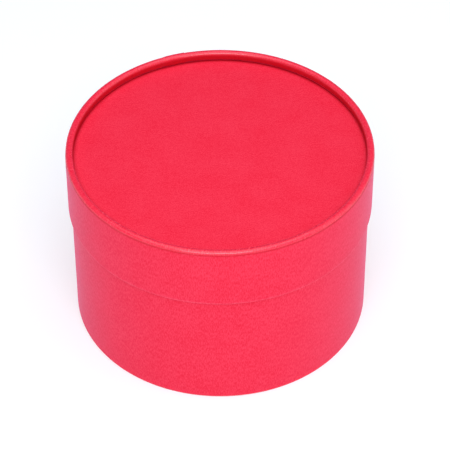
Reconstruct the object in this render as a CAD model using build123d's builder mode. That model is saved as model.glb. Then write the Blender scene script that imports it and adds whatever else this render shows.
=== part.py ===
import os

from build123d import *

# Round paperboard gift box: a telescoping lid over a base, both with a rolled rim.
# Millimetres. +Z is up, the box axis is the Z axis, and the closed box stands on z = 0.

# Overall sizes
lid_diameter = 150.0        # over the paper of the lid wall
box_height = 100.0          # closed box, from the surface it stands on to the top of the lid rim
lid_height = 33.2           # from the lid's lower edge to the top of its rim

# Sheet thicknesses
cover_paper = 0.2           # coloured paper on every outer face
lining_paper = 0.15         # plain paper on the inner faces
outer_tube_board = 0.5      # wound tube that is curled into the rim
inner_tube_board = 0.5      # wound tube that locks the disc against the curl
disc_board = 1.5            # lid panel and floor of the base

# Rolled rims and wrapped edges
rim_width = 3.7             # section of the rolled rims, paper included
rim_height = 5.2            # the rolls are pressed to a rounded oblong, taller than wide
curl_turn = 290.0           # degrees that the sheet turns in the rim, from the wall's outer face
foot_land = 0.8             # width of the flat pressed on the base rim, where the box stands
edge_radius = 0.35          # outer radius of the paper where it turns round a wall's open edge
lid_turn_in = 9.0           # how far the cover runs back inside the lid
base_turn_in = 12.0         # how far the cover runs back inside the base

# Fits
lid_clearance = 0.2         # radial gap between the lid's turned edge and the base

# Radii, from the outside inwards
rim_radius = rim_width / 2
rim_side = rim_height - rim_width
board_edge_radius = edge_radius - cover_paper
tube_boards = outer_tube_board + inner_tube_board

lid_radius = lid_diameter / 2
lid_outer_tube_radius = lid_radius - cover_paper
lid_inner_tube_radius = lid_outer_tube_radius - outer_tube_board
lid_bore_radius = lid_outer_tube_radius - tube_boards
lid_edge_bore_radius = lid_bore_radius - cover_paper

base_radius = lid_edge_bore_radius - lid_clearance
base_outer_tube_radius = base_radius - cover_paper
base_inner_tube_radius = base_outer_tube_radius - outer_tube_board
base_bore_radius = base_outer_tube_radius - tube_boards
base_edge_bore_radius = base_bore_radius - cover_paper

# Radii of the rims' arc centers. The foot's flat runs between its heel and its toe.
lid_rim_radius = lid_radius - rim_radius
base_heel_radius = base_radius - rim_radius
base_toe_radius = base_heel_radius - foot_land

# Radii of the sheets' middle surfaces round the rim
cover_curl_radius = rim_radius - cover_paper / 2
tube_curl_radius = rim_radius - cover_paper - outer_tube_board / 2
cover_edge_radius = edge_radius - cover_paper / 2

# Heights in the lid
lid_bottom = box_height - lid_height
lid_rim_top_center = box_height - rim_radius
lid_rim_low_center = lid_rim_top_center - rim_side
lid_board_bottom = lid_bottom + cover_paper
lid_disc_top = box_height - rim_height
lid_disc_board_top = lid_disc_top - cover_paper
lid_disc_board_bottom = lid_disc_board_top - disc_board
lid_disc_bottom = lid_disc_board_bottom - lining_paper

# Heights in the base. The closed lid rests on the base's open edge.
base_top = lid_disc_bottom
base_board_top = base_top - cover_paper
base_rim_top_center = rim_height - rim_radius
base_disc_board_bottom = rim_height + cover_paper
base_disc_board_top = base_disc_board_bottom + disc_board
base_disc_top = base_disc_board_top + lining_paper


# ---- Lid -----------------------------------------------------------------------------

# Coloured paper: rolled with the rim, down the wall, round the lower edge and back inside.
with BuildPart() as lid_side_cover:
    with BuildSketch(Plane.XZ):
        with BuildLine():
            roll = CenterArc((lid_rim_radius, lid_rim_top_center), cover_curl_radius, 0, 180)
            curl = CenterArc(
                (lid_rim_radius, lid_rim_low_center), cover_curl_radius, 180, curl_turn - 180
            )
            outer_corner = CenterArc(
                (lid_radius - edge_radius, lid_bottom + edge_radius), cover_edge_radius, 0, -90
            )
            inner_corner = CenterArc(
                (lid_edge_bore_radius + edge_radius, lid_bottom + edge_radius),
                cover_edge_radius, -90, -90,
            )
            Line(roll @ 1, curl @ 0)
            Line(roll @ 0, outer_corner @ 0)
            Line(outer_corner @ 1, inner_corner @ 0)
            Line(
                inner_corner @ 1,
                (lid_edge_bore_radius + cover_paper / 2, lid_bottom + lid_turn_in),
            )
        trace(line_width=cover_paper)
    revolve(axis=Axis.Z)

# Outer tube: its top is curled over inwards and presses on the disc.
with BuildPart() as lid_outer_tube:
    with BuildSketch(Plane.XZ):
        with BuildLine():
            roll = CenterArc((lid_rim_radius, lid_rim_top_center), tube_curl_radius, 0, 180)
            curl = CenterArc(
                (lid_rim_radius, lid_rim_low_center), tube_curl_radius, 180, curl_turn - 180
            )
            Line(roll @ 1, curl @ 0)
            Line(roll @ 0, (lid_rim_radius + tube_curl_radius, lid_board_bottom))
        trace(line_width=outer_tube_board)
    revolve(axis=Axis.Z)
    lower_edge = lid_outer_tube.edges().filter_by(GeomType.CIRCLE).group_by(Axis.Z)[0]
    fillet(lower_edge.sort_by(SortBy.RADIUS)[-1], board_edge_radius)

# Inner tube: a plain ring under the disc.
with BuildPart() as lid_inner_tube:
    with BuildSketch(Plane.XY.offset(lid_board_bottom)):
        Circle(lid_inner_tube_radius)
        Circle(lid_bore_radius, mode=Mode.SUBTRACT)
    extrude(amount=lid_disc_bottom - lid_board_bottom)
    lower_edge = lid_inner_tube.edges().filter_by(GeomType.CIRCLE).group_by(Axis.Z)[0]
    fillet(lower_edge.sort_by(SortBy.RADIUS)[0], board_edge_radius)

# Lining on the inside of the wall, from the turned-in paper up to the disc.
with BuildPart() as lid_side_lining:
    with BuildSketch(Plane.XY.offset(lid_bottom + lid_turn_in)):
        Circle(lid_bore_radius)
        Circle(lid_bore_radius - lining_paper, mode=Mode.SUBTRACT)
    extrude(amount=lid_disc_bottom - lid_bottom - lid_turn_in)

# Disc: coloured paper, board and lining, held between the rim and the inner tube.
with BuildPart() as lid_disc_cover:
    with BuildSketch(Plane.XY.offset(lid_disc_board_top)):
        Circle(lid_inner_tube_radius)
    extrude(amount=cover_paper)

with BuildPart() as lid_disc_board:
    with BuildSketch(Plane.XY.offset(lid_disc_board_bottom)):
        Circle(lid_inner_tube_radius)
    extrude(amount=disc_board)

with BuildPart() as lid_disc_lining:
    with BuildSketch(Plane.XY.offset(lid_disc_bottom)):
        Circle(lid_inner_tube_radius)
    extrude(amount=lining_paper)


# ---- Base ----------------------------------------------------------------------------

# Coloured paper: rolled with the foot rim, up the wall, round the open edge and back inside.
with BuildPart() as base_side_cover:
    with BuildSketch(Plane.XZ):
        with BuildLine():
            heel = CenterArc((base_heel_radius, rim_radius), cover_curl_radius, 0, -90)
            roll = CenterArc((base_toe_radius, rim_radius), cover_curl_radius, -90, -90)
            curl = CenterArc(
                (base_toe_radius, base_rim_top_center), cover_curl_radius, 180, 180 - curl_turn
            )
            outer_corner = CenterArc(
                (base_radius - edge_radius, base_top - edge_radius), cover_edge_radius, 0, 90
            )
            inner_corner = CenterArc(
                (base_edge_bore_radius + edge_radius, base_top - edge_radius),
                cover_edge_radius, 90, 90,
            )
            Line(heel @ 1, roll @ 0)
            Line(roll @ 1, curl @ 0)
            Line(heel @ 0, outer_corner @ 0)
            Line(outer_corner @ 1, inner_corner @ 0)
            Line(
                inner_corner @ 1,
                (base_edge_bore_radius + cover_paper / 2, base_top - base_turn_in),
            )
        trace(line_width=cover_paper)
    revolve(axis=Axis.Z)

# Outer tube: its foot is curled inwards, pressed flat underneath and carries the disc.
with BuildPart() as base_outer_tube:
    with BuildSketch(Plane.XZ):
        with BuildLine():
            heel = CenterArc((base_heel_radius, rim_radius), tube_curl_radius, 0, -90)
            roll = CenterArc((base_toe_radius, rim_radius), tube_curl_radius, -90, -90)
            curl = CenterArc(
                (base_toe_radius, base_rim_top_center), tube_curl_radius, 180, 180 - curl_turn
            )
            Line(heel @ 1, roll @ 0)
            Line(roll @ 1, curl @ 0)
            Line(heel @ 0, (base_heel_radius + tube_curl_radius, base_board_top))
        trace(line_width=outer_tube_board)
    revolve(axis=Axis.Z)
    open_edge = base_outer_tube.edges().filter_by(GeomType.CIRCLE).group_by(Axis.Z)[-1]
    fillet(open_edge.sort_by(SortBy.RADIUS)[-1], board_edge_radius)

# Inner tube: a plain ring that stands on the disc.
with BuildPart() as base_inner_tube:
    with BuildSketch(Plane.XY.offset(base_disc_top)):
        Circle(base_inner_tube_radius)
        Circle(base_bore_radius, mode=Mode.SUBTRACT)
    extrude(amount=base_board_top - base_disc_top)
    open_edge = base_inner_tube.edges().filter_by(GeomType.CIRCLE).group_by(Axis.Z)[-1]
    fillet(open_edge.sort_by(SortBy.RADIUS)[0], board_edge_radius)

# Lining on the inside of the wall, from the disc up to the turned-in paper.
with BuildPart() as base_side_lining:
    with BuildSketch(Plane.XY.offset(base_disc_top)):
        Circle(base_bore_radius)
        Circle(base_bore_radius - lining_paper, mode=Mode.SUBTRACT)
    extrude(amount=base_top - base_turn_in - base_disc_top)

# Disc: coloured paper underneath, board, and lining on the floor of the box.
with BuildPart() as base_disc_cover:
    with BuildSketch(Plane.XY.offset(rim_height)):
        Circle(base_inner_tube_radius)
    extrude(amount=cover_paper)

with BuildPart() as base_disc_board:
    with BuildSketch(Plane.XY.offset(base_disc_board_bottom)):
        Circle(base_inner_tube_radius)
    extrude(amount=disc_board)

with BuildPart() as base_disc_lining:
    with BuildSketch(Plane.XY.offset(base_disc_board_top)):
        Circle(base_inner_tube_radius)
    extrude(amount=lining_paper)


# ---- Files ---------------------------------------------------------------------------

pieces = {
    "lid_side_cover": lid_side_cover,
    "lid_outer_tube": lid_outer_tube,
    "lid_inner_tube": lid_inner_tube,
    "lid_side_lining": lid_side_lining,
    "lid_disc_cover": lid_disc_cover,
    "lid_disc_board": lid_disc_board,
    "lid_disc_lining": lid_disc_lining,
    "base_side_cover": base_side_cover,
    "base_outer_tube": base_outer_tube,
    "base_inner_tube": base_inner_tube,
    "base_side_lining": base_side_lining,
    "base_disc_cover": base_disc_cover,
    "base_disc_board": base_disc_board,
    "base_disc_lining": base_disc_lining,
}

os.makedirs("parts", exist_ok=True)
for node_name, piece in pieces.items():
    piece.part.label = node_name
    export_step(piece.part, f"parts/{node_name}.step")
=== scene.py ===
"""Round gift box: the paper, lining and board pieces, and a small studio around them.

Every piece is a sheet of paper or board that follows a route in the plane of the box's
radius and height, turned once round the box's axis. Lengths are in metres.
"""

import math

import bmesh
import bpy
from bpy.props import FloatProperty, FloatVectorProperty, IntProperty, PointerProperty
from mathutils import Matrix, Vector, noise


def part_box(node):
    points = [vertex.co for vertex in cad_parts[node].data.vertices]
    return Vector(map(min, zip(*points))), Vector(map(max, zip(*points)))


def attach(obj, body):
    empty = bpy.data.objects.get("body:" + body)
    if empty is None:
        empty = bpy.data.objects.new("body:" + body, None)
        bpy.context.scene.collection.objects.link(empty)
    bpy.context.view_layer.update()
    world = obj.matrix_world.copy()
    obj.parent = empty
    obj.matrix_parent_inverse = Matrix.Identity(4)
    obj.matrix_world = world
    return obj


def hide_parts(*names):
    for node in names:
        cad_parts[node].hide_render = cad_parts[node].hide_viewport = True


bl_info = {
    "name": "Round Gift Box",
    "version": (1, 0, 0),
    "blender": (4, 5, 0),
    "location": "View3D > Sidebar > Gift Box",
    "description": "Builds a rolled-rim paper box with a lift-off lid, and a studio for it",
    "category": "Object",
}

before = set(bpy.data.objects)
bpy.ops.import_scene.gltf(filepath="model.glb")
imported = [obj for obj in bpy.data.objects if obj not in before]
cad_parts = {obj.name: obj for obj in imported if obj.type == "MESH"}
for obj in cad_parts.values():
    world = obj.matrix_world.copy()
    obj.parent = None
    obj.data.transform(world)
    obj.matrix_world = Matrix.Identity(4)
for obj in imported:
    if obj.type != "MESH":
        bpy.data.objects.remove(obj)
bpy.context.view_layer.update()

MM = 0.001

# Parts of a rolled rim, as shares of the rim's width
ROLL_DEPTH = 0.97       # how far in from the wall's outer face the burnished crown reaches
CROWN_DROP = 0.38       # from the rim's end to the end of the crown
NECK_DROP = 0.52        # from the rim's end to the end of the pressed neck
HOLLOW_DROP = 0.42      # from the rim's end to the middle of the neck's hollow
WALL_START = 0.9        # from the rim's end to where the wall is straight

ROLL_REACH = 1.1        # share of the rim's height that the turned-in roll stays within
HOLLOW_HALF = 0.55 * MM     # half width of the neck's hollow
# On the lid's lower edge the rubbed band is also lightened as painted highlight
RUBBED_EDGE = 0.5 * MM      # height of the rubbed band along an open edge
LAP_RAMP = 3 * MM           # length over which the lap's upper sheet comes down to the wall
# Painted shade: a panel's colour darkens between these two insets, standing for the shade of the rim
# beside it
PANEL_SHADE_RAMP = (3.9 * MM, 2.9 * MM)     # where a panel darkens, in from its edge


# ---- Sizes read from the frame ---------------------------------------------------------


def outer_radius(node):
    """Largest radius of a CAD node about the box's axis."""
    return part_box(node)[1].x


def low(node):
    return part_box(node)[0].z


def high(node):
    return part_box(node)[1].z


LID_RADIUS = outer_radius("lid_side_cover")
BASE_RADIUS = outer_radius("base_side_cover")
LID_BORE = outer_radius("lid_side_lining")
BASE_BORE = outer_radius("base_side_lining")
PAPER = LID_RADIUS - outer_radius("lid_outer_tube")
RIM_HEIGHT = high("lid_side_cover") - high("lid_disc_cover")


# ---- Settings --------------------------------------------------------------------------


class GiftBoxShape(bpy.types.PropertyGroup):
    """Sizes of the sheets and of what handling has done to them."""

    segments: IntProperty(
        name="Segments", description="Steps round the box", default=480, min=64, max=1440
    )
    rim_width: FloatProperty(
        name="Rim Width", description="Width of the rolled rims across the wall",
        default=3.7 * MM, unit="LENGTH", precision=5,
    )
    neck: FloatProperty(
        name="Neck", description="Depth of the hollow pressed in the wall under the lid's roll",
        default=0.11 * MM, unit="LENGTH", precision=5,
    )
    curl_turn: FloatProperty(
        name="Curl Turn", description="How far the sheet turns in the rolled rim",
        default=math.radians(290), subtype="ANGLE",
    )
    foot_land: FloatProperty(
        name="Foot Land", description="Width of the flat pressed on the foot rim",
        default=0.8 * MM, unit="LENGTH", precision=5,
    )
    edge_radius: FloatProperty(
        name="Edge Radius", description="Radius of the paper round a wall's open edge",
        default=0.35 * MM, unit="LENGTH", precision=5,
    )
    lap_width: FloatProperty(
        name="Lap Width", description="Overlap of the side paper on itself",
        default=9 * MM, unit="LENGTH", precision=5,
    )
    lap_angle: FloatProperty(
        name="Lap Angle", description="Where the side paper overlaps, from +X round to +Y",
        default=math.radians(104), subtype="ANGLE",
    )
    ripple: FloatProperty(
        name="Ripple", description="Height of the long ripples left in the walls by hand work",
        default=0.05 * MM, unit="LENGTH", precision=6,
    )
    pleat: FloatProperty(
        name="Pleat", description="Depth of the fine pleats where the paper is curled",
        default=0.018 * MM, unit="LENGTH", precision=6,
    )
    roll_lift: FloatProperty(
        name="Roll Lift", description="How far the paper stands off the lid's rolled board",
        default=0.072 * MM, unit="LENGTH", precision=6,
    )


class GiftBoxFinish(bpy.types.PropertyGroup):
    """Colours of the papers and the board."""

    cover_color: FloatVectorProperty(
        name="Cover", description="Dyed cover paper", subtype="COLOR", size=3,
        default=(0.795, 0.038, 0.078), min=0, max=1,
    )
    cover_shade: FloatVectorProperty(
        name="Cover Shade", description="Darker fibres of the cover paper", subtype="COLOR",
        size=3, default=(0.730, 0.010, 0.037), min=0, max=1,
    )
    # Rubbed fibres and painted highlight: on the lid's lower edge this lighter colour also stands for
    # the light that rounded edge catches; on the base's top edge it is rubbing only
    cover_wear_and_highlight: FloatVectorProperty(
        name="Cover Wear", description="Rubbed fibres along the edges", subtype="COLOR",
        size=3, default=(0.93, 0.15, 0.24), min=0, max=1,
    )
    # Painted shade: this dark colour stands for the shade inside the rolls, in the neck's hollow and
    # round a panel's edge, not for darkened paper
    cover_painted_shade: FloatVectorProperty(
        name="Cover Crease", description="Cover paper pressed and darkened in a groove",
        subtype="COLOR", size=3, default=(0.42, 0.0005, 0.004), min=0, max=1,
    )
    lining_color: FloatVectorProperty(
        name="Lining", description="Plain lining paper", subtype="COLOR", size=3,
        default=(0.80, 0.785, 0.75), min=0, max=1,
    )
    board_color: FloatVectorProperty(
        name="Board", description="Recycled board", subtype="COLOR", size=3,
        default=(0.33, 0.27, 0.20), min=0, max=1,
    )


class GiftBoxStudio(bpy.types.PropertyGroup):
    """Camera and lights."""

    camera_right: FloatProperty(
        name="Camera Right", description="Camera's distance to the right of the box's axis",
        default=0.36 * MM, unit="LENGTH", precision=5,
    )
    camera_back: FloatProperty(
        name="Camera Back", description="Camera's distance in front of the box's axis",
        default=0.82285, unit="LENGTH",
    )
    camera_height: FloatProperty(
        name="Camera Height", description="Camera's height above the floor",
        default=0.82459, unit="LENGTH",
    )
    camera_pitch: FloatProperty(
        name="Camera Pitch", description="How far the camera looks down",
        default=math.radians(43.365), subtype="ANGLE",
    )
    camera_yaw: FloatProperty(
        name="Camera Yaw", description="How far the camera turns to the left",
        default=math.radians(-0.136), subtype="ANGLE",
    )
    camera_roll: FloatProperty(
        name="Camera Roll", description="Turn about the line of sight",
        default=math.radians(-0.2155), subtype="ANGLE",
    )
    lens: FloatProperty(
        name="Lens", description="Focal length on a 36 mm sensor", default=181.0, unit="CAMERA"
    )
    top_power: FloatProperty(
        name="Top Light", description="Power of the softbox over the box, in watts", default=9.0
    )
    front_power: FloatProperty(
        name="Front Light", description="Power of the softbox over the camera, in watts",
        default=7.8,
    )
    right_power: FloatProperty(
        name="Right Light", description="Power of the weak softbox on the right, in watts",
        default=2.4,
    )
    table_glow: FloatProperty(
        name="Table Glow", description="Light that comes up through the white table",
        default=0.49,
    )
    low_surround: FloatProperty(
        name="Low Surround", description="Brightness of the white sweep round the table",
        default=1.35,
    )
    high_surround: FloatProperty(
        name="High Surround", description="Brightness of the dim room above it", default=0.22
    )
    back_share: FloatProperty(
        name="Back Share", description="Share of that light left straight behind the box",
        default=0.30, min=0, max=1,
    )


# ---- Mesh code -------------------------------------------------------------------------


def arc(center, radius, start, turn, steps):
    """Points (radius, height) and outward normals (radius, height) along an arc, in degrees."""
    found = []
    for i in range(steps + 1):
        angle = math.radians(start + turn * i / steps)
        across, up = math.cos(angle), math.sin(angle)
        found.append((center[0] + radius * across, center[1] + radius * up, across, up))
    return found


def run(start, end, normal, steps):
    """Points and normals along a straight stretch, without its two ends."""
    return [
        (
            start[0] + (end[0] - start[0]) * i / steps,
            start[1] + (end[1] - start[1]) * i / steps,
            normal[0],
            normal[1],
        )
        for i in range(1, steps)
    ]


def running_length(route):
    """Length along the route up to each of its points."""
    total, lengths = 0.0, [0.0]
    for a, b in zip(route, route[1:]):
        total += math.hypot(b[0] - a[0], b[1] - a[1])
        lengths.append(total)
    return lengths


def smooth(low_end, high_end, value):
    share = min(1.0, max(0.0, (value - low_end) / (high_end - low_end)))
    return share * share * (3 - 2 * share)


def new_piece(name, vertices, faces, coordinates, wear_and_highlight, painted_shade):
    """A mesh object whose points store the sheet's own coordinates, its rubbing with painted highlight,
    and its painted shade.
    """
    mesh = bpy.data.meshes.new(name)
    mesh.from_pydata(vertices, [], faces)
    sheet = mesh.attributes.new("sheet", "FLOAT_VECTOR", "POINT")
    sheet.data.foreach_set("vector", [x for place in coordinates for x in place])
    for kind, amounts in (("wear_and_highlight", wear_and_highlight), ("painted_shade", painted_shade)):
        stored = mesh.attributes.new(kind, "FLOAT", "POINT")
        stored.data.foreach_set("value", amounts)
    work = bmesh.new()
    work.from_mesh(mesh)
    bmesh.ops.recalc_face_normals(work, faces=work.faces)
    work.to_mesh(mesh)
    work.free()
    mesh.shade_smooth()
    mesh.set_sharp_from_angle(angle=math.radians(50))
    piece = bpy.data.objects.new(name, mesh)
    bpy.context.scene.collection.objects.link(piece)
    return piece


def stations(segments, lap_angle):
    """Angles round the box, starting and ending at the cut edge of the lap."""
    step = 2 * math.pi / segments
    cut = 0.04 * step
    return [lap_angle, lap_angle + cut] + [lap_angle + step * i for i in range(1, segments)]


def turned_sheet(name, route, thickness, rise, marks, shape, seed):
    """Turns a route of points and normals round the axis into a sheet with two faces.

    rise(angle, length, point) gives how far the outer face stands off the route and how far
    the whole sheet is moved, both along the normal. marks(point) gives how rubbed the sheet is
    there, with painted highlight on the lid's lower edge, and its painted shade, each from 0 to 1.
    """
    angles = stations(shape.segments, shape.lap_angle)
    lengths = running_length(route)
    mean_radius = max(point[0] for point in route)
    amounts = [marks(point) for point in route]
    amounts += amounts[::-1]
    vertices, coordinates = [], []
    for angle in angles:
        x, y = math.cos(angle), math.sin(angle)
        ring = []
        for point, length in zip(route, lengths):
            lift, shift = rise(angle, length, point)
            outer = lift + shift
            inner = shift - thickness
            for offset in (outer, inner):
                radius = point[0] + point[2] * offset
                ring.append((radius * x, radius * y, point[1] + point[3] * offset))
        along = (angle - angles[0]) * mean_radius
        vertices += ring[0::2] + ring[1::2][::-1]
        coordinates += [(along, length, seed) for length in lengths + lengths[::-1]]
    count, per_ring = len(angles), 2 * len(route)
    faces = []
    for i in range(count):
        j = (i + 1) % count
        for k in range(per_ring):
            m = (k + 1) % per_ring
            faces.append((i * per_ring + k, j * per_ring + k, j * per_ring + m, i * per_ring + m))
    wear_and_highlight, painted_shade = ([pair[i] for pair in amounts] * count for i in (0, 1))
    return new_piece(name, vertices, faces, coordinates, wear_and_highlight, painted_shade)


def mark_roll(piece, rim_end, crown, radius):
    """Gives a roll's crown the piece's second material, and its neck and inside the third."""
    for face in piece.data.polygons:
        height = abs(face.center.z - rim_end)
        if face.center.xy.length > radius - ROLL_DEPTH * crown:
            if height < CROWN_DROP * crown:
                face.material_index = 1
            elif height < NECK_DROP * crown:
                face.material_index = 2
        elif height < ROLL_REACH * RIM_HEIGHT:
            face.material_index = 2


def no_marks(point):
    return 0.0, 0.0


def ripples(angle, length, seed, height):
    """Long ripples round the wall that change slowly along the sheet."""
    place = Vector((3 * math.cos(angle), 3 * math.sin(angle), seed + length * 25))
    return height * noise.fractal(place, 0.6, 2.0, 3)


def lap_step(angle, shape, radius):
    """1 on the overlap's two sheets and 0 off it: a cut edge at one side, a ramp at the other."""
    turned = (angle - shape.lap_angle) * radius
    if turned <= 0:
        return 0.0
    return 1.0 - smooth(shape.lap_width, shape.lap_width + LAP_RAMP, turned)


def hollow(rim_end, height, shape):
    """1 at the middle of the hollow under the lid's roll, falling to 0 above and below it."""
    out = (abs(height - rim_end) - shape.rim_width * HOLLOW_DROP) / HOLLOW_HALF
    return math.exp(-out * out)


def lid_wrap_route(shape):
    """Out of the rolled rim, down the wall, round the lower edge and back up inside."""
    rim, edge = shape.rim_width / 2, shape.edge_radius
    top, bottom = high("lid_side_cover"), low("lid_side_cover")
    inside = LID_BORE - PAPER
    curl = math.degrees(shape.curl_turn) - 180
    heart = LID_RADIUS - rim
    roll_low = top - RIM_HEIGHT + rim
    neck_end = top - 3 * shape.rim_width
    route = arc((heart, roll_low), rim, 180 + curl, -curl, 24)
    route += run((heart - rim, roll_low), (heart - rim, top - rim), (-1, 0), 8)
    route += arc((heart, top - rim), rim, 180, -180, 44)
    route += run((LID_RADIUS, top - rim), (LID_RADIUS, neck_end), (1, 0), 24)
    route += run((LID_RADIUS, neck_end), (LID_RADIUS, bottom + edge), (1, 0), 20)
    route += arc((LID_RADIUS - edge, bottom + edge), edge, 0, -90, 6)
    route += run((LID_RADIUS - edge, bottom), (inside + edge, bottom), (0, -1), 3)
    route += arc((inside + edge, bottom + edge), edge, -90, -90, 6)
    route += run((inside, bottom + edge), (inside, low("lid_side_lining")), (-1, 0), 6)
    route.append((inside, low("lid_side_lining"), -1, 0))
    return route


def base_wrap_route(shape):
    """Out of the foot rim, across its flat, up the wall, round the open edge and down inside."""
    rim, edge, land = shape.rim_width / 2, shape.edge_radius, shape.foot_land
    top, bottom = high("base_side_cover"), low("base_side_cover")
    inside = BASE_BORE - PAPER
    curl = math.degrees(shape.curl_turn) - 180
    heel = BASE_RADIUS - rim
    toe = heel - land
    roll_top = bottom + RIM_HEIGHT - rim
    neck_end = bottom + 3 * shape.rim_width
    route = arc((toe, roll_top), rim, 180 - curl, curl, 24)
    route += run((toe - rim, roll_top), (toe - rim, bottom + rim), (-1, 0), 8)
    route += arc((toe, bottom + rim), rim, -180, 90, 20)
    route += run((toe, bottom), (heel, bottom), (0, -1), 3)
    route += arc((heel, bottom + rim), rim, -90, 90, 16)
    route += run((BASE_RADIUS, bottom + rim), (BASE_RADIUS, neck_end), (1, 0), 24)
    route += run((BASE_RADIUS, neck_end), (BASE_RADIUS, top - edge), (1, 0), 50)
    route += arc((BASE_RADIUS - edge, top - edge), edge, 0, 90, 6)
    route += run((BASE_RADIUS - edge, top), (inside + edge, top), (0, 1), 3)
    route += arc((inside + edge, top - edge), edge, 90, 90, 6)
    route += run((inside, top - edge), (inside, high("base_side_lining")), (-1, 0), 8)
    route.append((inside, high("base_side_lining"), -1, 0))
    return route


def panel(name, radius, bottom, thickness, face_up, sag, seed):
    """A round sheet of paper with two faces and a rounded rim, with gentle unevenness and painted shade
    stored toward its edge.
    """
    rings, segments = 60, 240
    vertices, coordinates, painted_shade = [], [], []
    for side in (1, 0):
        height = bottom + thickness * side
        vertices.append((0, 0, height))
        coordinates.append((0, 0, seed))
        painted_shade.append(0.0)
        for i in range(1, rings + 1):
            out = radius * (i / rings)
            # Painted shade: the colour darkens over the panel's outer edge, where the rim beside it
            # shades it
            shade_start, shade_end = (radius - inset for inset in PANEL_SHADE_RAMP)
            painted_shade += [smooth(shade_start, shade_end, out)] * segments
            for k in range(segments):
                angle = 2 * math.pi * k / segments
                x, y = out * math.cos(angle), out * math.sin(angle)
                near_edge = smooth(0.90, 0.97, i / rings)
                bump = sag * noise.fractal(Vector((x * 22, y * 22, seed)), 0.7, 2.0, 3)
                exposed = side == (1 if face_up else 0)
                lift = bump * (1 - near_edge) if exposed else 0.0
                vertices.append((x, y, height + lift))
                coordinates.append((x, y, seed))
    faces = []
    per_side = 1 + rings * segments

    def index(side, i, k):
        return side * per_side + 1 + (i - 1) * segments + k % segments

    for side in (0, 1):
        for k in range(segments):
            faces.append((side * per_side, index(side, 1, k), index(side, 1, k + 1)))
            for i in range(1, rings):
                faces.append((
                    index(side, i, k), index(side, i, k + 1),
                    index(side, i + 1, k + 1), index(side, i + 1, k),
                ))
    for k in range(segments):
        faces.append((
            index(0, rings, k), index(0, rings, k + 1), index(1, rings, k + 1), index(1, rings, k)
        ))
    return new_piece(name, vertices, faces, coordinates, [0.0] * len(vertices), painted_shade)


# ---- Materials -------------------------------------------------------------------------


class Tree:
    """Short calls for building a material's nodes."""

    def __init__(self, name):
        self.material = bpy.data.materials.new(name)
        self.material.use_nodes = True
        self.nodes = self.material.node_tree.nodes
        self.links = self.material.node_tree.links
        self.shader = self.nodes["Principled BSDF"]

    def add(self, kind, **settings):
        node = self.nodes.new(kind)
        for key, value in settings.items():
            setattr(node, key, value)
        return node

    def link(self, source, target):
        self.links.new(source, target)

    def attribute(self, name, output):
        return self.add("ShaderNodeAttribute", attribute_name=name).outputs[output]

    def stretched(self, vector, scale):
        node = self.add("ShaderNodeMapping")
        node.inputs["Scale"].default_value = scale
        self.link(vector, node.inputs["Vector"])
        return node.outputs["Vector"]

    def noise(self, vector, scale, detail=3.0, roughness=0.55, distortion=0.0):
        node = self.add("ShaderNodeTexNoise")
        node.inputs["Scale"].default_value = scale
        node.inputs["Detail"].default_value = detail
        node.inputs["Roughness"].default_value = roughness
        node.inputs["Distortion"].default_value = distortion
        self.link(vector, node.inputs["Vector"])
        return node.outputs["Fac"]

    def ramp(self, value, low_end, high_end, low_to=0.0, high_to=1.0):
        node = self.add("ShaderNodeMapRange", interpolation_type="SMOOTHSTEP")
        for key, number in (
            ("From Min", low_end), ("From Max", high_end), ("To Min", low_to), ("To Max", high_to)
        ):
            node.inputs[key].default_value = number
        self.link(value, node.inputs["Value"])
        return node.outputs["Result"]

    def mix(self, factor, first, second):
        node = self.add("ShaderNodeMix", data_type="RGBA")
        self.link(factor, node.inputs["Factor"])
        for socket, value in ((node.inputs[6], first), (node.inputs[7], second)):
            if isinstance(value, bpy.types.NodeSocket):
                self.link(value, socket)
            else:
                socket.default_value = (*value, 1.0)
        return node.outputs[2]

    def math(self, operation, first, second):
        node = self.add("ShaderNodeMath", operation=operation)
        for socket, value in zip(node.inputs, (first, second)):
            if isinstance(value, bpy.types.NodeSocket):
                self.link(value, socket)
            else:
                socket.default_value = value
        return node.outputs[0]

    def bump(self, height, distance, strength, normal=None):
        node = self.add("ShaderNodeBump")
        node.inputs["Distance"].default_value = distance
        node.inputs["Strength"].default_value = strength
        self.link(height, node.inputs["Height"])
        if normal is not None:
            self.link(normal, node.inputs["Normal"])
        return node.outputs["Normal"]


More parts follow.
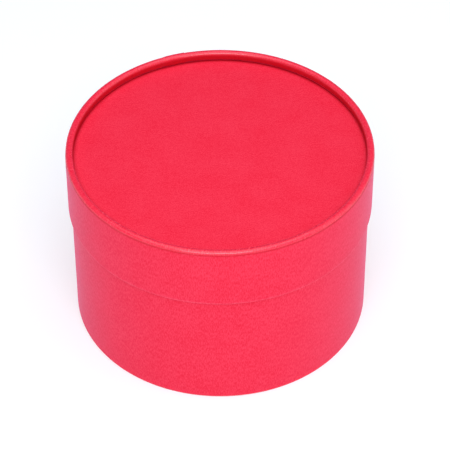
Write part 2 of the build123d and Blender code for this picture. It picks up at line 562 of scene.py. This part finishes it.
def cover_paper(name, fibre_scale, finish, gloss, roughness, relief_height, sheen):
    """Dyed felt-marked paper: soft mottling, short fibres, a fine tooth, rubbed edges with painted
    highlight on the lid's lower edge, and painted shade in the rolls, necks and round panel edges.
    """
    tree = Tree(name)
    place = tree.attribute("sheet", "Vector")
    cloud = tree.noise(place, 70, 4.0, 0.6)
    mottle = tree.noise(place, 520, 5.0, 0.7)
    fibre = tree.noise(tree.stretched(place, fibre_scale), 2300, 3.0, 0.6, 0.4)
    tooth = tree.noise(place, 2600, 2.0, 0.6)
    tone = tree.math("ADD", tree.math("MULTIPLY", cloud, 0.12), tree.math("MULTIPLY", mottle, 0.20))
    tone = tree.math("ADD", tone, tree.math("MULTIPLY", fibre, 0.68))
    shade = tree.ramp(tone, 0.40, 0.60)
    color = tree.mix(shade, tuple(finish.cover_shade), tuple(finish.cover_color))
    # Rubbed fibres, and painted highlight where the lid's lower edge is marked
    rub_and_highlight = tree.math("MULTIPLY", tree.attribute("wear_and_highlight", "Fac"), tree.ramp(mottle, 0.42, 0.62, 0.35, 1.0))
    color = tree.mix(rub_and_highlight, color, tuple(finish.cover_wear_and_highlight))
    # Painted shade: darkens the paper toward the dark colour where the attribute marks shade
    applied = tree.math("MULTIPLY", tree.attribute("painted_shade", "Fac"), 0.80)
    color = tree.mix(applied, color, tuple(finish.cover_painted_shade))
    tree.link(color, tree.shader.inputs["Base Color"])
    uneven = tree.ramp(mottle, 0.3, 0.7, roughness + 0.04, roughness - 0.04)
    tree.link(uneven, tree.shader.inputs["Roughness"])
    tree.shader.inputs["Specular IOR Level"].default_value = gloss
    tree.shader.inputs["Sheen Weight"].default_value = sheen
    tree.shader.inputs["Sheen Roughness"].default_value = 0.45
    tree.shader.inputs["Sheen Tint"].default_value = (1.0, 0.22, 0.92, 1.0)
    relief = tree.math("ADD", tree.math("MULTIPLY", fibre, 0.6), tree.math("MULTIPLY", tooth, 0.4))
    normal = tree.bump(relief, relief_height, 0.30)
    normal = tree.bump(mottle, 0.05 * MM, 0.08, normal)
    tree.link(normal, tree.shader.inputs["Normal"])
    return tree.material


def lining_paper(name, finish):
    """Uncoated white paper with faint fibres and a few flecks."""
    tree = Tree(name)
    place = tree.attribute("sheet", "Vector")
    cloud = tree.noise(place, 60, 4.0, 0.6)
    fibre = tree.noise(tree.stretched(place, (1.0, 0.25, 1.0)), 1300, 3.0, 0.6, 0.8)
    tint = tuple(c * 0.90 for c in finish.lining_color)
    tone = tree.math("ADD", tree.math("MULTIPLY", cloud, 0.5), tree.math("MULTIPLY", fibre, 0.5))
    color = tree.mix(tree.ramp(tone, 0.38, 0.62), tint, tuple(finish.lining_color))
    fleck = tree.ramp(tree.noise(place, 900, 1.0, 0.5, 1.5), 0.74, 0.80, 0.0, 0.5)
    color = tree.mix(fleck, color, (0.45, 0.42, 0.36))
    tree.link(color, tree.shader.inputs["Base Color"])
    tree.link(tree.ramp(fibre, 0.3, 0.7, 0.85, 0.72), tree.shader.inputs["Roughness"])
    tree.link(tree.bump(fibre, 0.04 * MM, 0.5), tree.shader.inputs["Normal"])
    return tree.material


def recycled_board(name, finish):
    """Grey-brown board pressed from waste paper, with pale and dark fibres."""
    tree = Tree(name)
    place = tree.add("ShaderNodeTexCoord").outputs["Object"]
    pulp = tree.noise(place, 350, 5.0, 0.7)
    fibre = tree.noise(tree.stretched(place, (1.0, 1.0, 0.3)), 1100, 3.0, 0.6, 1.0)
    dark = tuple(c * 0.6 for c in finish.board_color)
    color = tree.mix(tree.ramp(pulp, 0.35, 0.65), dark, tuple(finish.board_color))
    color = tree.mix(tree.ramp(fibre, 0.62, 0.70, 0.0, 0.5), color, (0.60, 0.55, 0.46))
    tree.link(color, tree.shader.inputs["Base Color"])
    tree.link(tree.ramp(pulp, 0.3, 0.7, 0.95, 0.82), tree.shader.inputs["Roughness"])
    tree.link(tree.bump(fibre, 0.06 * MM, 0.6), tree.shader.inputs["Normal"])
    return tree.material


def studio_white(name, glow):
    """Matte white table, a little uneven, with some light from below."""
    tree = Tree(name)
    place = tree.add("ShaderNodeTexCoord").outputs["Object"]
    cloud = tree.noise(place, 3.0, 3.0, 0.5)
    color = tree.mix(cloud, (0.52, 0.54, 0.56), (0.55, 0.57, 0.59))
    tree.link(color, tree.shader.inputs["Base Color"])
    tree.link(tree.ramp(cloud, 0.0, 1.0, 0.9, 0.95), tree.shader.inputs["Roughness"])
    tree.shader.inputs["Specular IOR Level"].default_value = 0.1
    tree.shader.inputs["Emission Color"].default_value = (0.94, 0.96, 1.0, 1.0)
    tree.shader.inputs["Emission Strength"].default_value = glow
    return tree.material


# ---- Operators -------------------------------------------------------------------------


def finished(piece, material, body, slot, *nodes):
    """Gives a piece its material and its body, and hides the CAD nodes it stands for; the slot is not
    used.
    """
    piece.data.materials.clear()
    piece.data.materials.append(material)
    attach(piece, body)
    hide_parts(*nodes)


class GIFTBOX_OT_side_covers(bpy.types.Operator):
    """Wraps the lid's and the base's walls in cover paper, rolled into their rims"""

    bl_idname = "giftbox.side_covers"
    bl_label = "Side Covers"

    def execute(self, context):
        shape, finish = context.scene.gift_box_shape, context.scene.gift_box_finish
        paper = cover_paper(
            "dyed_cover_paper", (1.0, 0.25, 1.0), finish, 0.08, 0.42, 0.04 * MM, 0.13
        )
        rolled = cover_paper(
            "burnished_cover_paper", (1.0, 0.3, 1.0), finish, 0.46, 0.25, 0.006 * MM, 0.08
        )
        creased = cover_paper(
            "creased_cover_paper", (1.0, 0.3, 1.0), finish, 0.06, 0.60, 0.03 * MM, 0.0
        )
        wraps = (
            ("lid_wrap", "lid", "lid_side_cover", lid_wrap_route(shape), LID_RADIUS, 3.0),
            ("base_wrap", "base", "base_side_cover", base_wrap_route(shape), BASE_RADIUS, 11.0),
        )
        for name, body, node, route, radius, seed in wraps:
            bottom, top = low(node), high(node)
            rim_end = top if body == "lid" else bottom

            def rise(angle, length, point, seed=seed, radius=radius, rim_end=rim_end, body=body):
                on_wall = smooth(0.0, WALL_START * shape.rim_width, abs(point[1] - rim_end))
                applied = on_wall if body == "base" else 1.0
                pleats = noise.noise(Vector((angle * 30, length * 60, seed)))
                shift = 0.0
                if body == "lid":
                    shift = (1 - on_wall) * (shape.roll_lift + shape.pleat * pleats)
                shift += applied * (0.3 + 0.7 * on_wall) * ripples(angle, length, seed, shape.ripple)
                if body == "lid" and point[2] > 0.5:
                    shift -= shape.neck * hollow(rim_end, point[1], shape)
                return applied * PAPER * lap_step(angle, shape, radius), shift

            def marks(point, bottom=bottom, top=top, rim_end=rim_end, body=body):
                depth = abs(point[1] - rim_end) / RIM_HEIGHT
                # Painted shade: inward-facing paper in a roll gets darker the further it lies from the
                # rim's end
                painted_shade = smooth(0.0, 0.75, depth + 0.25 * point[2] ** 2)
                if point[2] > 0 or depth > ROLL_REACH:
                    painted_shade = 0.0
                if body == "lid":
                    if point[2] > 0.5:
                        # Painted shade along the neck's hollow under the lid's roll
                        painted_shade = 0.60 * hollow(rim_end, point[1], shape)
                    # The lid's lower edge: rubbed fibres, lightened also as painted highlight
                    rubbed_and_lit_edge = 1 - smooth(bottom, bottom + RUBBED_EDGE, point[1])
                    return rubbed_and_lit_edge, painted_shade
                return 0.30 * smooth(top - RUBBED_EDGE, top, point[1]), painted_shade

            piece = turned_sheet(name, route, PAPER, rise, marks, shape, seed)
            finished(piece, paper, body, "red_paper", node)
            piece.data.materials.append(rolled)
            piece.data.materials.append(creased)
            mark_roll(piece, rim_end, shape.rim_width, radius)
        return {"FINISHED"}


class GIFTBOX_OT_disc_covers(bpy.types.Operator):
    """Lays cover paper on the lid's panel and under the base's floor"""

    bl_idname = "giftbox.disc_covers"
    bl_label = "Disc Covers"

    def execute(self, context):
        finish = context.scene.gift_box_finish
        paper = cover_paper(
            "dyed_panel_paper", (1.0, 0.55, 1.0), finish, 0.20, 0.38, 0.04 * MM, 0.0
        )
        for name, body, node, face_up, seed in (
            ("lid_panel_paper", "lid", "lid_disc_cover", True, 5.0),
            ("base_foot_paper", "base", "base_disc_cover", False, 7.0),
        ):
            piece = panel(
                name, outer_radius(node), low(node), high(node) - low(node), face_up, 0.05 * MM, seed
            )
            finished(piece, paper, body, "red_paper", node)
        return {"FINISHED"}


class GIFTBOX_OT_side_linings(bpy.types.Operator):
    """Lines the inside of the lid's and the base's walls"""

    bl_idname = "giftbox.side_linings"
    bl_label = "Side Linings"

    def execute(self, context):
        shape = context.scene.gift_box_shape
        paper = lining_paper("white_side_lining", context.scene.gift_box_finish)
        thickness = high("lid_disc_lining") - low("lid_disc_lining")
        for name, body, seed in (("lid_side_liner", "lid", 17.0), ("base_side_liner", "base", 19.0)):
            node = body + "_side_lining"
            bore = outer_radius(node)
            face = bore - thickness
            route = [(face, low(node), -1, 0)]
            route += run((face, low(node)), (face, high(node)), (-1, 0), 40)
            route.append((face, high(node), -1, 0))

            def rise(angle, length, point, seed=seed):
                lift = thickness * lap_step(angle, shape, bore)
                return lift, 0.4 * ripples(angle, length, seed, shape.ripple)

            piece = turned_sheet(name, route, thickness, rise, no_marks, shape, seed)
            finished(piece, paper, body, "white_paper", node)
        return {"FINISHED"}


class GIFTBOX_OT_disc_linings(bpy.types.Operator):
    """Lines the underside of the lid's panel and the floor of the base"""

    bl_idname = "giftbox.disc_linings"
    bl_label = "Disc Linings"

    def execute(self, context):
        paper = lining_paper("white_disc_lining", context.scene.gift_box_finish)
        for name, body, face_up, seed in (
            ("lid_disc_liner", "lid", False, 23.0), ("base_floor_liner", "base", True, 29.0)
        ):
            node = body + "_disc_lining"
            piece = panel(
                name, outer_radius(node), low(node), high(node) - low(node), face_up, 0.04 * MM, seed
            )
            finished(piece, paper, body, "white_paper", node)
        return {"FINISHED"}


class GIFTBOX_OT_boards(bpy.types.Operator):
    """Gives the hidden tubes and discs their board"""

    bl_idname = "giftbox.boards"
    bl_label = "Boards"

    def execute(self, context):
        board = recycled_board("recycled_board", context.scene.gift_box_finish)
        for body in ("lid", "base"):
            for part in ("outer_tube", "inner_tube", "disc_board"):
                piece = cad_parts[f"{body}_{part}"]
                piece.data.materials.clear()
                piece.data.materials.append(board)
        return {"FINISHED"}


class GIFTBOX_OT_stage(bpy.types.Operator):
    """Sets up the floor, the softboxes, the room's light and the camera"""

    bl_idname = "giftbox.stage"
    bl_label = "Stage"

    def execute(self, context):
        studio = context.scene.gift_box_studio
        self.floor(studio.table_glow)
        self.softbox("top_softbox", (0, -0.10, 1.10), (1.2, 1.2), studio.top_power)
        self.softbox("front_softbox", (0, -0.80, 0.90), (0.8, 0.28), studio.front_power)
        self.softbox("right_softbox", (1.1, -0.10, 0.75), (0.8, 0.8), studio.right_power)
        self.room(studio)
        self.camera(studio)
        context.scene.view_settings.view_transform = "Standard"
        return {"FINISHED"}

    def floor(self, glow):
        half, steps = 3.0, 24
        mesh = bpy.data.meshes.new("studio_floor")
        work = bmesh.new()
        grid = [
            [
                work.verts.new((half * (2 * i / steps - 1), half * (2 * j / steps - 1), 0))
                for i in range(steps + 1)
            ]
            for j in range(steps + 1)
        ]
        for j in range(steps):
            for i in range(steps):
                work.faces.new((grid[j][i], grid[j][i + 1], grid[j + 1][i + 1], grid[j + 1][i]))
        work.to_mesh(mesh)
        work.free()
        floor = bpy.data.objects.new("studio_floor", mesh)
        bpy.context.scene.collection.objects.link(floor)
        floor.data.materials.append(studio_white("studio_white", glow))

    def softbox(self, name, place, size, power):
        """An area light aimed at the middle of the box."""
        light = bpy.data.lights.new(name, "AREA")
        light.shape = "RECTANGLE"
        light.size, light.size_y = size
        light.energy = power
        light.color = (0.98, 0.98, 1.0)
        lamp = bpy.data.objects.new(name, light)
        bpy.context.scene.collection.objects.link(lamp)
        lamp.location = place
        target = Vector((0, 0, high("lid_side_cover") / 2))
        lamp.rotation_euler = (target - Vector(place)).to_track_quat("-Z", "Y").to_euler()

    def room(self, studio):
        """A world that is bright near the horizon, and dim above and behind the box."""
        world = bpy.data.worlds.new("studio_room")
        world.use_nodes = True
        nodes, links = world.node_tree.nodes, world.node_tree.links
        direction = nodes.new("ShaderNodeTexCoord").outputs["Generated"]
        parts = nodes.new("ShaderNodeSeparateXYZ")
        links.new(direction, parts.inputs["Vector"])
        level = nodes.new("ShaderNodeMath")
        level.operation = "MULTIPLY"
        for slot, (axis, from_min, from_max, to_min, to_max) in enumerate((
            ("Z", 0.14, 0.34, studio.low_surround, studio.high_surround),
            ("Y", 0.10, 0.80, 1.0, studio.back_share),
        )):
            change = nodes.new("ShaderNodeMapRange")
            change.interpolation_type = "SMOOTHSTEP"
            for key, number in (
                ("From Min", from_min), ("From Max", from_max), ("To Min", to_min), ("To Max", to_max)
            ):
                change.inputs[key].default_value = number
            links.new(parts.outputs[axis], change.inputs["Value"])
            links.new(change.outputs["Result"], level.inputs[slot])
        background = nodes["Background"]
        background.inputs["Color"].default_value = (0.86, 0.92, 1.0, 1.0)
        links.new(level.outputs["Value"], background.inputs["Strength"])
        bpy.context.scene.world = world

    def camera(self, studio):
        data = bpy.data.cameras.new("studio_camera")
        data.lens = studio.lens
        data.sensor_width = 36.0
        data.clip_start, data.clip_end = 0.05, 20.0
        camera = bpy.data.objects.new("studio_camera", data)
        bpy.context.scene.collection.objects.link(camera)
        camera.matrix_world = (
            Matrix.Translation((studio.camera_right, -studio.camera_back, studio.camera_height))
            @ Matrix.Rotation(studio.camera_yaw, 4, "Z")
            @ Matrix.Rotation(math.pi / 2 - studio.camera_pitch, 4, "X")
            @ Matrix.Rotation(studio.camera_roll, 4, "Z")
        )
        bpy.context.scene.camera = camera


OPERATORS = (
    GIFTBOX_OT_side_covers,
    GIFTBOX_OT_disc_covers,
    GIFTBOX_OT_side_linings,
    GIFTBOX_OT_disc_linings,
    GIFTBOX_OT_boards,
    GIFTBOX_OT_stage,
)


class GIFTBOX_PT_panel(bpy.types.Panel):
    """Lists the box's pieces and their settings"""

    bl_idname = "GIFTBOX_PT_panel"
    bl_label = "Round Gift Box"
    bl_space_type = "VIEW_3D"
    bl_region_type = "UI"
    bl_category = "Gift Box"

    def draw(self, context):
        for settings in ("gift_box_shape", "gift_box_finish", "gift_box_studio"):
            group = getattr(context.scene, settings)
            column = self.layout.column(align=True)
            for name in group.__annotations__:
                column.prop(group, name)
        for operator in OPERATORS:
            self.layout.operator(operator.bl_idname)


CLASSES = (GiftBoxShape, GiftBoxFinish, GiftBoxStudio, *OPERATORS, GIFTBOX_PT_panel)


def register():
    for item in CLASSES:
        bpy.utils.register_class(item)
    bpy.types.Scene.gift_box_shape = PointerProperty(type=GiftBoxShape)
    bpy.types.Scene.gift_box_finish = PointerProperty(type=GiftBoxFinish)
    bpy.types.Scene.gift_box_studio = PointerProperty(type=GiftBoxStudio)


def unregister():
    del bpy.types.Scene.gift_box_studio
    del bpy.types.Scene.gift_box_finish
    del bpy.types.Scene.gift_box_shape
    for item in reversed(CLASSES):
        bpy.utils.unregister_class(item)


def main():
    register()
    bpy.ops.giftbox.side_covers()
    bpy.ops.giftbox.disc_covers()
    bpy.ops.giftbox.side_linings()
    bpy.ops.giftbox.disc_linings()
    bpy.ops.giftbox.boards()
    bpy.ops.giftbox.stage()


if __name__ == "__main__":
    main()
